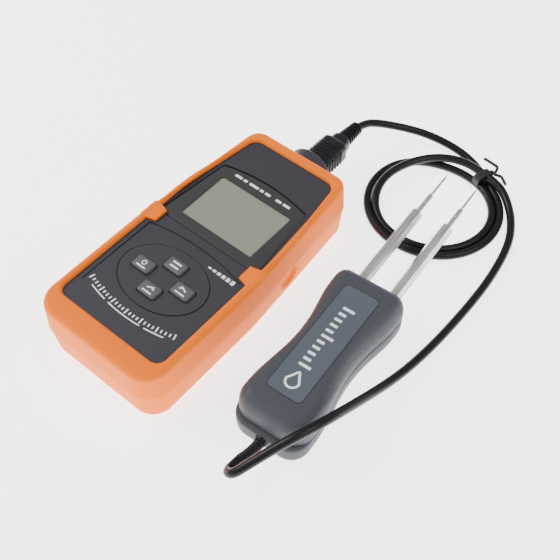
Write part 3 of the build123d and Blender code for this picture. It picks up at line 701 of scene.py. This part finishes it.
@dataclass(frozen=True)
class Display:
    """Lens frame, its border line, the plain grey display and the printed marks on it."""

    top_z: float = 33.6
    view: tuple[float, float] = (46.0, 31.5)
    centre_y: float = 24.0
    arch_radius: float = 103.0
    arch_top: float = 49.8

    def outline(self) -> Array:
        """Lens outline: straight sides, and an arched far side given as many points.

        The arch is a circle: its Y is the arch's top less what a circle of that radius drops
        by at each X.

        Returns:
            The points in order (n, 2).
        """
        low, high = (32.2, 2.0), (27.6, 45.6)
        x = np.linspace(25.6, -25.6, 41)
        y = self.arch_top - (self.arch_radius - np.sqrt(self.arch_radius ** 2 - x ** 2))
        near = rounded_loop([(low[0], low[1], 2.0), (high[0], high[1] + 3.0, 0.1), (-high[0], high[1] + 3.0, 0.1),
                             (-low[0], low[1], 2.0)], 6, [20, 0, 20, 20])
        near = near[near[:, 1] < high[1] - 0.4]
        turn = np.linspace(0.15, 0.85, 5)[:, None]
        right = (1 - turn) ** 2 * np.array(high) + 2 * turn * (1 - turn) * np.array([27.3, 46.9]) \
            + turn ** 2 * np.array([x[0], y[0]])
        left = (right * [-1, 1])[::-1]
        order = np.argsort(np.unwrap(np.arctan2(near[:, 1] - 24.0, near[:, 0]) + math.pi / 2) % (2 * math.pi))
        near = near[order]
        rights, lefts = near[near[:, 0] > 0], near[near[:, 0] <= 0]
        return np.vstack([rights, right, np.column_stack([x, y]), left, lefts])

    def build(self) -> None:
        """Makes the lens frame, the display and the marks."""
        outer = self.outline()
        middle = np.array([0.0, self.centre_y])
        half = np.array(self.view) / 2

        def scaled(by: float) -> Array:
            """The outline moved inward by a distance, towards the middle.

            Args:
                by: the distance.

            Returns:
                The smaller outline.
            """
            away = outer - middle
            return middle + away * (1 - by / np.abs(away).max(1, keepdims=True))

        away = outer - middle
        inner = middle + away * np.min(half / np.maximum(np.abs(away), 1e-6), axis=1, keepdims=True)
        rows = np.array([lifted(outer, 32.6), lifted(outer, self.top_z - 0.35),
                         lifted(scaled(0.25), self.top_z - 0.05), lifted(scaled(0.5), self.top_z),
                         lifted(inner, self.top_z), lifted(inner, 32.6)])
        add_piece("Lens_frame", loft(rows, ring=True), PALETTE.lens, Body.METER, ("display_lens",), sharp=25.0)
        screen = plate(box_corners(0.0, self.centre_y, self.view[0] + 2.0, self.view[1] + 2.0, 0.5), 31.4, 32.9)
        add_piece("Display", screen, PALETTE.screen, Body.METER)
        marks = [plate(box_corners(x, 44.7, width, 1.5, 0.3), self.top_z - 0.02, self.top_z + 0.03)
                 for x, width in ((-16.2, 4.6), (-11.6, 2.4), (-5.8, 6.0), (-0.6, 2.2), (3.4, 3.4), (10.6, 3.6),
                                  (15.8, 4.4))]
        add_piece("Lens_marks", joined(marks), PALETTE.print_white, Body.METER)


@dataclass(frozen=True)
class Key:
    """One rubber key with a soft edge and a generic mark."""

    name: str
    x: float
    y: float
    symbol: Symbol
    body: Body
    size: tuple[float, float] = (11.0, 7.5)
    top_z: float = 35.6

    def marks(self) -> list[Shape]:
        """The printed mark: a ring with a stroke, two bars, or an arrow, over a short line.

        Returns:
            The strokes of the mark.
        """
        low, high = self.top_z - 0.02, self.top_z + 0.04
        shapes = [stroke(np.array([[self.x - 2.9, self.y - 2.0], [self.x + 2.9, self.y - 2.0]]), 0.75, low, high)]
        if self.symbol is Symbol.POWER:
            angle = np.radians(np.linspace(-235.0, 55.0, 24))
            ring = np.column_stack([self.x + 1.15 * np.cos(angle), self.y + 0.7 + 1.15 * np.sin(angle)])
            shapes.append(stroke(ring, 0.5, low, high))
            shapes.append(stroke(np.array([[self.x, self.y + 1.1], [self.x, self.y + 2.4]]), 0.5, low, high))
        elif self.symbol is Symbol.HOLD:
            shapes = [stroke(np.array([[self.x - 2.6, self.y + v], [self.x + 2.6, self.y + v]]), 1.0, low, high)
                      for v in (1.3, -1.2)]
        else:
            flip = 1.0 if self.symbol is Symbol.UNIT else -1.0
            t = np.linspace(0.0, 1.0, 14)
            x = self.x + flip * (-1.9 + 3.8 * t)
            bend = self.y + 0.3 + 1.5 * np.sin(math.pi * t) * t
            shapes.append(stroke(np.column_stack([x, bend]), 0.75, low, high))
            head = np.array([[self.x + flip * 1.2, self.y + 1.9], [self.x + flip * 2.3, self.y + 0.2]])
            shapes.append(stroke(head, 0.7, low, high))
        return shapes

    def build(self) -> None:
        """Makes the key and its mark."""
        cap = plate(box_corners(self.x, self.y, *self.size, 1.3), 31.0, self.top_z, 1.0, arc=8, side=2)
        flange = plate(box_corners(self.x, self.y, self.size[0] + 1.6, self.size[1] + 1.0, 0.8), 29.9, 31.2)
        stem = plate(box_corners(self.x, self.y, 3.2, 3.2, 1.5), 27.4, 30.0)
        add_piece(f"Key_{self.name}", joined([cap, flange, stem]), PALETTE.key, self.body, (f"key_{self.name}",))
        add_piece(f"Key_{self.name}_mark", joined(self.marks()), PALETTE.print_white, self.body)


@dataclass(frozen=True)
class PanelMarks:
    """White generic marks on the front panel: a scale on an arc and small bars."""

    z: float = 34.0
    arc_y: float = -52.9
    arc_rise: float = 4.0
    half_width: float = 27.3

    def build(self) -> None:
        """Makes the marks. The arc is a parabola, its ends higher than its middle."""
        low, high = self.z - 0.4, self.z + 0.03
        shapes = []
        for index, share in enumerate(np.linspace(-1.0, 1.0, 25)):
            x = self.half_width * share
            y = self.arc_y + self.arc_rise * share * share
            slope = 2 * self.arc_rise * share / self.half_width
            up = np.array([-slope, 1.0]) / math.hypot(slope, 1.0)
            reach = 1.5 if index % 4 == 0 else 0.85
            path = np.array([[x, y] - up * reach, [x, y] + up * reach])
            shapes.append(stroke(path, 0.75, low, high))
        for start, stop in ((-0.86, -0.47), (-0.38, 0.38), (0.47, 0.86)):
            share = np.linspace(start, stop, 16)
            path = np.column_stack([self.half_width * share, self.arc_y - 2.5 + self.arc_rise * share ** 2])
            shapes.append(stroke(path, 0.6, low, high))
        add_piece("Panel_scale", joined(shapes), PALETTE.print_white, Body.METER)
        small = [plate(box_corners(12.6 + 2.9 * index, -9.1, 2.0, 1.0 + 0.32 * index, 0.3),
                       self.z - 0.6, self.z - 0.38)
                 for index in range(6)]
        add_piece("Panel_bars", joined(small), PALETTE.print_white, Body.METER)


@dataclass(frozen=True)
class Plug:
    """Moulded plug with raised grips, its neck and a ribbed strain relief."""

    z: float = 18.0
    start_y: float = 86.3
    body_end: float = 108.0
    neck_end: float = 113.5
    end_y: float = 127.0

    def build(self) -> None:
        """Makes the plug's body and relief."""
        y0, y1 = self.start_y, self.body_end
        sections = [(y0, 14.6, 12.0, 3.0), (y0 + 0.6, 15.6, 13.0, 3.4), (y1 - 2.0, 15.6, 13.0, 3.4),
                    (y1 - 0.9, 15.1, 12.5, 3.4), (y1 - 0.2, 13.8, 11.4, 3.4), (y1, 12.6, 10.8, 3.4)]
        neck = [(y1 - 0.5, 11.4, 10.4, 3.5), (self.neck_end - 1.0, 11.0, 10.0, 3.6),
                (self.neck_end, 10.0, 9.4, 4.0)]
        shapes = [bar(sections, 0.0, self.z), bar(neck, 0.0, self.z)]
        for index in range(6):
            y = y0 + 3.6 + 2.4 * index
            for side in (-1.0, 1.0):
                shapes.append(bar([(y - 0.55, 0.5, 8.2, 0.2), (y - 0.25, 1.1, 8.8, 0.4), (y + 0.25, 1.1, 8.8, 0.4),
                                   (y + 0.55, 0.5, 8.2, 0.2)], side * 7.75, self.z, 3, 0))
            shapes.append(bar([(y - 0.55, 8.6, 0.5, 0.2), (y - 0.25, 9.4, 1.0, 0.4), (y + 0.25, 9.4, 1.0, 0.4),
                               (y + 0.55, 8.6, 0.5, 0.2)], 0.0, self.z + 6.45, 3, 0))
        add_piece("Plug", joined(shapes), PALETTE.plug, Body.PROBE, ("plug_body",))
        relief = Relief(4.9, 3.8, self.neck_end - 0.4, self.end_y, 6, 0.75, 0.0, self.z)
        add_piece("Plug_relief", relief.shape(), PALETTE.plug, Body.PROBE, ("plug_relief",), sharp=50.0)


@dataclass(frozen=True)
class Relief:
    """Tapered sleeve along Y with rounded ring grooves."""

    start_radius: float
    end_radius: float
    start_y: float
    end_y: float
    grooves: int
    depth: float
    x: float
    z: float

    def shape(self) -> Shape:
        """The sleeve's surface. Its radius falls steadily and each groove cuts a smooth dip.

        Returns:
            The closed sleeve.
        """
        share = np.linspace(0.0, 1.0, 16 * (self.grooves + 1) + 1)
        radius = self.start_radius + (self.end_radius - self.start_radius) * share
        phase = share * (self.grooves + 1)
        near = np.abs(phase - np.round(phase))
        inside = (phase > 0.5) & (phase < self.grooves + 0.5)
        dip = np.clip((0.3 - near) / 0.12, 0.0, 1.0)
        radius = radius - np.where(inside, self.depth * dip * dip * (3 - 2 * dip), 0.0)
        y = self.start_y + (self.end_y - self.start_y) * share
        profile = [(float(r), float(v)) for r, v in zip(radius, y)]
        ends = 1.0 if self.end_y > self.start_y else -1.0
        profile = [(profile[0][0] * 0.6, profile[0][1])] + profile
        profile.append((profile[-1][0] * 0.82, profile[-1][1] + 0.25 * ends))
        return turned(profile, 48, self.x, self.z)


# ---------------- probe
@dataclass(frozen=True)
class ProbePlace:
    """Where the probe lies: its centre and its turn about Z."""

    x: float = 79.5
    y: float = -8.0
    turn: float = 4.67

    def put(self, shape: Shape) -> Shape:
        """A shape drawn in the probe's own frame, moved to where the probe lies.

        Args:
            shape: the shape in the probe's frame.

        Returns:
            The shape in place.
        """
        return shape.moved(self.x, self.y, 0.0, self.turn)


PROBE = ProbePlace()


@dataclass(frozen=True)
class Handle:
    """Waisted handle: a rounded upper shell, a lower shell, a label."""

    half_width: float = 19.5
    waist: float = 14.4
    front: float = 49.2
    rear_upper: float = -43.5
    rear_lower: float = -46.4
    parting: float = 15.0
    top_z: float = 29.0
    top_edge: tuple[float, float] = (6.4, 10.0)
    foot_edge: tuple[float, float] = (5.0, 8.0)
    label_y: float = 3.7

    def outline(self, rear: float) -> list[Corner]:
        """Outline of a shell in the probe's frame.

        Args:
            rear: Y of the shell's rear end.

        Returns:
            The corners, anticlockwise.
        """
        return mirrored([(self.half_width, rear, 10.0), (self.half_width, -26.0, 80.0), (self.waist, 6.0, 85.0),
                         (self.half_width, 34.0, 60.0), (self.half_width, self.front, 7.0)])

    def upper(self) -> Shape:
        """Upper shell. Its top edge is a quarter of an ellipse, 6.4 wide and 10 high.

        Returns:
            The shell.
        """
        sides = [6, 12, 12, 6, 16, 6, 12, 12, 6, 16]
        wide, high = self.top_edge
        rows = [(1.2, self.parting), (0.25, self.parting), (0.0, self.parting + 0.25)]
        for angle in np.radians(np.linspace(0.0, 90.0, 14)):
            rows.append((wide * (1 - math.cos(angle)), self.top_z - high + high * math.sin(angle)))
        corners = self.outline(self.rear_upper)
        return loft(np.array([lifted(rounded_loop(inset(corners, d), 9, sides), z) for d, z in rows]))

    def lower(self) -> Shape:
        """Lower shell. Its foot is rounded 5 wide and 8 high, its rim 2 all round.

        Returns:
            The shell.
        """
        sides = [6, 12, 12, 6, 16, 6, 12, 12, 6, 16]
        wide, high = self.foot_edge
        rows = []
        for angle in np.radians(np.linspace(90.0, 0.0, 9)):
            rows.append((wide * (1 - math.cos(angle)), high - high * math.sin(angle)))
        rows += [(0.0, 11.8), (0.0, 12.6)]
        for angle in np.radians(np.linspace(15.0, 90.0, 6)):
            rows.append((2.0 * (1 - math.cos(angle)), 12.8 + 2.0 * math.sin(angle)))
        corners = self.outline(self.rear_lower)
        return loft(np.array([lifted(rounded_loop(inset(corners, d), 9, sides), z) for d, z in rows]))

    def build(self) -> None:
        """Makes the shells, the label, its marks and the cord's sleeve, ringed by a cosine."""
        add_piece("Handle_upper", PROBE.put(self.upper()), PALETTE.handle, Body.PROBE,
                  ("handle_upper",), sharp=40.0)
        add_piece("Handle_lower", PROBE.put(self.lower()), PALETTE.handle, Body.PROBE,
                  ("handle_lower",), sharp=40.0)
        low, high = self.top_z - 0.1, self.top_z + 0.1
        label = plate(box_corners(0.0, self.label_y, 18.6, 67.5, 2.4), low, high, side=1)
        add_piece("Handle_label", PROBE.put(label), PALETTE.label, Body.PROBE, ("handle_label",))
        edge = rounded_loop(box_corners(0.0, self.label_y, 18.9, 67.8, 2.5), 8, [4] * 4)
        line = stroke(edge, 0.45, low, high + 0.02, closed=True)
        add_piece("Label_line", PROBE.put(line), PALETTE.label_line, Body.PROBE)
        marks = []
        for index in range(11):
            y = 24.5 - 3.7 * index
            reach = 6.4 if index % 5 == 0 else 4.0
            marks.append(plate(box_corners(reach / 2 - 3.2, y, reach, 1.5, 0.35), high, high + 0.05))
        angle = np.linspace(0.0, 2 * math.pi, 40, endpoint=False)
        squeeze = 1 - 0.55 * np.clip(np.sin(angle), 0.0, 1.0)
        tip = 1.8 * np.clip(np.sin(angle), 0.0, 1.0) ** 3
        drop = np.column_stack([3.4 * np.cos(angle) * squeeze, -22.0 + 3.6 * np.sin(angle) + tip])
        marks.append(stroke(drop, 1.1, high, high + 0.05, closed=True))
        add_piece("Label_marks", PROBE.put(joined(marks)), PALETTE.print_white, Body.PROBE)
        route = [[0.0, -44.0, 10.6], [0.0, -50.0, 10.8], [-0.9, -56.0, 11.5], [-2.0, -60.2, 12.4]]
        path = smooth_path(np.array(route), 36)
        along = np.linspace(0.0, 1.0, len(path))
        ring = np.where(along > 0.25, 0.16 * np.clip(np.cos(along * 2 * math.pi * 13), 0.0, 1.0), 0.0)
        neck = turned([(2.0, -44.0), (3.3, -44.0), (3.3, -46.8), (3.0, -47.3), (2.0, -47.3)], 40, 0.0, 10.6)
        sleeve = joined([tube(path, 2.9 - 0.45 * along - ring, 24), neck])
        add_piece("Probe_relief", PROBE.put(sleeve), PALETTE.plug, Body.PROBE,
                  ("probe_relief",), sharp=50.0)


@dataclass(frozen=True)
class Rods:
    """Two hexagonal electrode rods with softened edges and a chamfered tip."""

    spacing: float = 18.2
    radius: float = 3.6
    start_y: float = 24.0
    end_y: float = 108.0
    z: float = 15.0

    def rod(self, x: float) -> Shape:
        """One rod in the probe's frame.

        Args:
            x: the rod's distance from the probe's middle.

        Returns:
            The rod.
        """
        angle = np.radians(np.arange(0.0, 360.0, 60.0))
        rows = []
        for y, size in ((self.start_y, self.radius), (self.end_y - 1.0, self.radius),
                        (self.end_y - 0.25, 3.0), (self.end_y, 2.6)):
            corners = [(size * math.cos(a), size * math.sin(a), 0.35) for a in angle]
            loop = rounded_loop(corners, 4, [3] * 6)
            rows.append(np.column_stack([loop[:, 0] + x, np.full(len(loop), y), loop[:, 1] + self.z]))
        return loft(np.array(rows))

    def build(self) -> None:
        """Makes both rods."""
        for side, name in ((-1.0, "left"), (1.0, "right")):
            shape = PROBE.put(self.rod(side * self.spacing / 2))
            add_piece(f"Rod_{name}", shape, PALETTE.rod, Body.PROBE, (f"rod_{name}",), sharp=12.0)


# ---------------- lead
@dataclass(frozen=True)
class Lead:
    """The cord from the probe to the plug, with two turns laid in a coil, and its tie."""

    diameter: float = 4.6
    centre: tuple[float, float] = (60.9, 119.6)
    tie_angle: float = 72.0
    outer_radius: float = 36.0
    inner_radius: float = 31.8
    low_z: float = 2.4
    high_z: float = 7.0
    steps: int = 28
    lobes: tuple[tuple[float, float, float], ...] = (
        (205.0, 1.7, 0.6), (155.0, 0.0, -3.0), (95.0, -1.6, -0.4), (330.0, 0.2, -0.4))
    probe_end: tuple[float, float, float] = (82.4, -68.0, 12.3)
    from_probe: tuple[tuple[float, float, float], ...] = (
        (82.4, -68.0, 12.3), (82.2, -73.0, 13.0), (83.0, -76.9, 15.0), (86.8, -77.2, 18.4), (90.2, -71.0, 22.2),
        (94.9, -61.0, 26.4), (100.5, -51.0, 31.2), (105.0, -38.4, 31.0), (106.6, -21.2, 22.2), (107.9, -4.2, 13.2),
        (109.6, 12.0, 7.0), (110.9, 27.0, 3.6), (112.3, 48.0, 2.4), (112.6, 76.0, 2.4), (111.5, 97.5, 2.4),
        (107.3, 121.5, 2.4), (99.8, 136.6, 2.7), (90.4, 146.2, 4.8), (81.8, 150.9, 7.0))
    to_plug: tuple[tuple[float, float, float], ...] = (
        (67.6, 156.4, 2.6), (60.5, 159.6, 3.4), (50.0, 161.6, 4.4), (37.0, 161.0, 5.6), (24.0, 156.8, 7.8),
        (12.8, 149.4, 10.6), (4.8, 141.0, 14.3), (0.9, 133.8, 17.0), (0.0, 126.2, 18.0))

    def coil(self) -> Array:
        """Control points of the two turns, clockwise from the tie.

        The first turn lies outside on the floor and moves in over its last quarter. The
        second lies inside, climbs on to the first over its third quarter and moves out on
        top of it over the last. Each lobe is the square of a cosine about its own angle, and
        it pushes both turns out by one amount and the inner turn by another on top.

        Returns:
            The control points (n, 3).
        """
        turn = np.linspace(0.0, 2.0, 2 * self.steps + 1)[1:-1]
        ease_in = np.clip((turn - 0.72) / 0.28, 0.0, 1.0)
        ease_up = np.clip((turn - 1.5) / 0.22, 0.0, 1.0)
        ease_out = np.clip((turn - 1.7) / 0.28, 0.0, 1.0)
        ease = [e * e * (3 - 2 * e) for e in (ease_in, ease_up, ease_out)]
        span = self.outer_radius - self.inner_radius
        radius = self.outer_radius - span * ease[0] + span * ease[2]
        z = self.low_z + (self.high_z - self.low_z) * ease[1]
        angle = math.radians(self.tie_angle) - 2 * math.pi * turn
        inside = ease[0] - ease[2]
        for place, both, inner in self.lobes:
            radius = radius + (both + inner * inside) * np.clip(np.cos(angle - math.radians(place)), 0.0, 1.0) ** 2
        x = self.centre[0] + radius * np.cos(angle)
        y = self.centre[1] + radius * np.sin(angle)
        return np.column_stack([x, y, z])

    def cord(self) -> bpy.types.Object:
        """Returns:
            The curve object.
        """
        route = np.vstack([np.array(self.from_probe), self.coil()[::-1], np.array(self.to_plug)])
        curve = bpy.data.curves.new("Cord", "CURVE")
        curve.dimensions = "3D"
        curve.bevel_depth = self.diameter / 2 * MM
        curve.bevel_resolution = 6
        curve.resolution_u = 8
        curve.use_fill_caps = True
        spline = curve.splines.new("NURBS")
        spline.points.add(len(route) - 1)
        spline.points.foreach_set("co", np.column_stack([route * MM, np.ones(len(route))]).ravel())
        spline.order_u = 3
        spline.use_endpoint_u = True
        obj = bpy.data.objects.new("Cord", curve)
        bpy.context.scene.collection.objects.link(obj)
        curve.materials.append(PALETTE.cord.material())
        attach(obj, Body.PROBE.value)
        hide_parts("cord_plug_side", "cord_coil", "cord_probe_side")
        return obj

    def tie(self) -> None:
        """Makes the wire tie: four windings round the bundle, a twist and two bent tails.

        A winding is a rounded rectangle in the upright plane through the coil's centre; the
        whole is then turned to the tie's angle.
        """
        turns = np.linspace(0.0, 4.0, 4 * 40 + 1)
        angle = 2 * math.pi * turns
        power = 0.62
        cos, sin = np.cos(angle), np.sin(angle)
        half_x, half_z, mid_x, mid_z = 4.9, 4.4, 33.2, 4.75
        x = mid_x + half_x * np.sign(cos) * np.abs(cos) ** power
        z = mid_z + half_z * np.sign(sin) * np.abs(sin) ** power
        windings = np.column_stack([x, (turns - 2.0) * 1.15, np.maximum(z, 0.75)])
        knot = smooth_path(np.array(
            [[36.6, -2.6, 7.6], [37.6, -1.2, 9.0], [38.6, -3.4, 8.6], [39.4, -2.4, 8.2]]), 8)
        tail_a = smooth_path(np.array(
            [[38.4, -3.4, 8.2], [43.0, -0.6, 8.4], [43.0, 2.6, 8.4], [41.8, 9.2, 8.0]]), 10)
        tail_b = smooth_path(np.array(
            [[38.6, -3.2, 8.0], [40.5, -6.6, 8.0], [40.0, -9.0, 8.0], [38.7, -12.7, 8.0]]), 10)
        shapes = [tube(windings, 0.7, 8), tube(knot, 1.0, 8), tube(tail_a, 0.9, 8), tube(tail_b, 0.9, 8)]
        shape = joined(shapes).moved(self.centre[0], self.centre[1], 0.0, self.tie_angle)
        add_piece("Cord_tie", shape, PALETTE.tie, Body.PROBE, ("cord_tie",), sharp=60.0)

    def build(self) -> None:
        """Makes the cord and the tie."""
        self.cord()
        self.tie()


# ---------------- picture
@dataclass(frozen=True)
class Studio:
    """Pale floor, soft light and the camera."""

    camera: tuple[float, float, float] = (207.6, -190.2, 378.9)
    target: tuple[float, float, float] = (43.3, 6.7, 34.0)
    lens: float = 58.0
    floor_glow: float = 3.0
    sky: float = 0.65
    floor_half: float = 4.0
    floor_z: float = -0.0002

    def area(self, name: str, place: tuple[float, float, float], size: float, power: float) -> None:
        """Adds a square area light that faces the object.

        Args:
            name: the light's name.
            place: where it stands, in metres.
            size: the length of its side.
            power: its power in watts.
        """
        light = bpy.data.lights.new(name, "AREA")
        light.shape = "SQUARE"
        light.size = size
        light.energy = power
        obj = bpy.data.objects.new(name, light)
        bpy.context.scene.collection.objects.link(obj)
        obj.location = Vector(place)
        direction = Vector((0.04, 0.03, 0.0)) - Vector(place)
        obj.rotation_euler = direction.to_track_quat("-Z", "Y").to_euler()

    def build(self) -> None:
        """Makes the floor, the world, the lights and the camera."""
        mesh = bpy.data.meshes.new("Floor")
        half, z = self.floor_half, self.floor_z
        mesh.from_pydata([(-half, -half, z), (half, -half, z), (half, half, z), (-half, half, z)], [],
                         [(0, 1, 2, 3)])
        floor = bpy.data.objects.new("Floor", mesh)
        bpy.context.scene.collection.objects.link(floor)
        white = Finish("floor_white", (0.93, 0.93, 0.93), 0.9).material()
        glow = white.node_tree.nodes["Principled BSDF"]
        glow.inputs["Emission Color"].default_value = (1.0, 1.0, 1.0, 1.0)
        glow.inputs["Emission Strength"].default_value = self.floor_glow
        mesh.materials.append(white)
        world = bpy.data.worlds.new("Studio")
        world.use_nodes = True
        world.node_tree.nodes["Background"].inputs["Color"].default_value = (1.0, 1.0, 1.0, 1.0)
        world.node_tree.nodes["Background"].inputs["Strength"].default_value = self.sky
        bpy.context.scene.world = world
        self.area("Key_light", (-0.9, -0.3, 1.0), 0.7, 16.0)
        self.area("Fill_light", (0.8, 0.1, 1.0), 0.8, 6.5)
        data = bpy.data.cameras.new("Camera")
        data.lens = self.lens
        data.sensor_width = 36.0
        data.clip_start = 0.01
        data.clip_end = 20.0
        camera = bpy.data.objects.new("Camera", data)
        bpy.context.scene.collection.objects.link(camera)
        camera.location = Vector(self.camera) * MM
        direction = Vector(self.target) - Vector(self.camera)
        camera.rotation_euler = direction.to_track_quat("-Z", "Y").to_euler()
        bpy.context.scene.camera = camera


def write_size() -> None:
    """Updates the view layer; it computes no corners and writes no file."""
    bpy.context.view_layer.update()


def kept_nodes() -> list[Kept]:
    """CAD nodes that are shown as they are, with their finishes.

    Returns:
        One entry for each finish.
    """
    return [
        Kept(PALETTE.case, ("front_case", "rear_case", "battery_door", "probe_socket")),
        Kept(PALETTE.screen, ("lcd_glass",)),
        Kept(PALETTE.white, ("lcd_holder", "rod_holder", "cord_clamp", "plug_insulator")),
        Kept(PALETTE.grey, ("keypad_mat",)),
        Kept(PALETTE.board, ("main_board",)),
        Kept(PALETTE.chip, ("board_chips", "buzzer", "battery_snap")),
        Kept(PALETTE.battery, ("battery",)),
        Kept(PALETTE.wire, ("battery_leads", "probe_wires")),
        Kept(PALETTE.steel, ("board_screws", "case_screws", "handle_screws", "snap_domes", "rod_terminals",
                             "contact_strips")),
        Kept(PALETTE.nickel, ("plug_shell",)),
        Kept(PALETTE.gold, ("plug_contacts",)),
        Kept(PALETTE.needle, ("needle_left", "needle_right")),
    ]


def main() -> None:
    """Builds the pieces in order, then the picture."""
    logging.basicConfig(level=logging.INFO, format="%(name)s %(message)s")
    write_size()
    for kept in kept_nodes():
        kept.paint()
    Boot().build()
    Display().build()
    for key in (Key("power", -12.8, -28.5, Symbol.POWER, Body.KEY_POWER),
                Key("hold", 0.0, -19.5, Symbol.HOLD, Body.KEY_HOLD),
                Key("unit", 0.0, -37.5, Symbol.UNIT, Body.KEY_UNIT),
                Key("select", 12.8, -28.5, Symbol.SELECT, Body.KEY_SELECT)):
        key.build()
    PanelMarks().build()
    Plug().build()
    Handle().build()
    Rods().build()
    Lead().build()
    Studio().build()
    write_size()


if __name__ == "__main__":
    main()
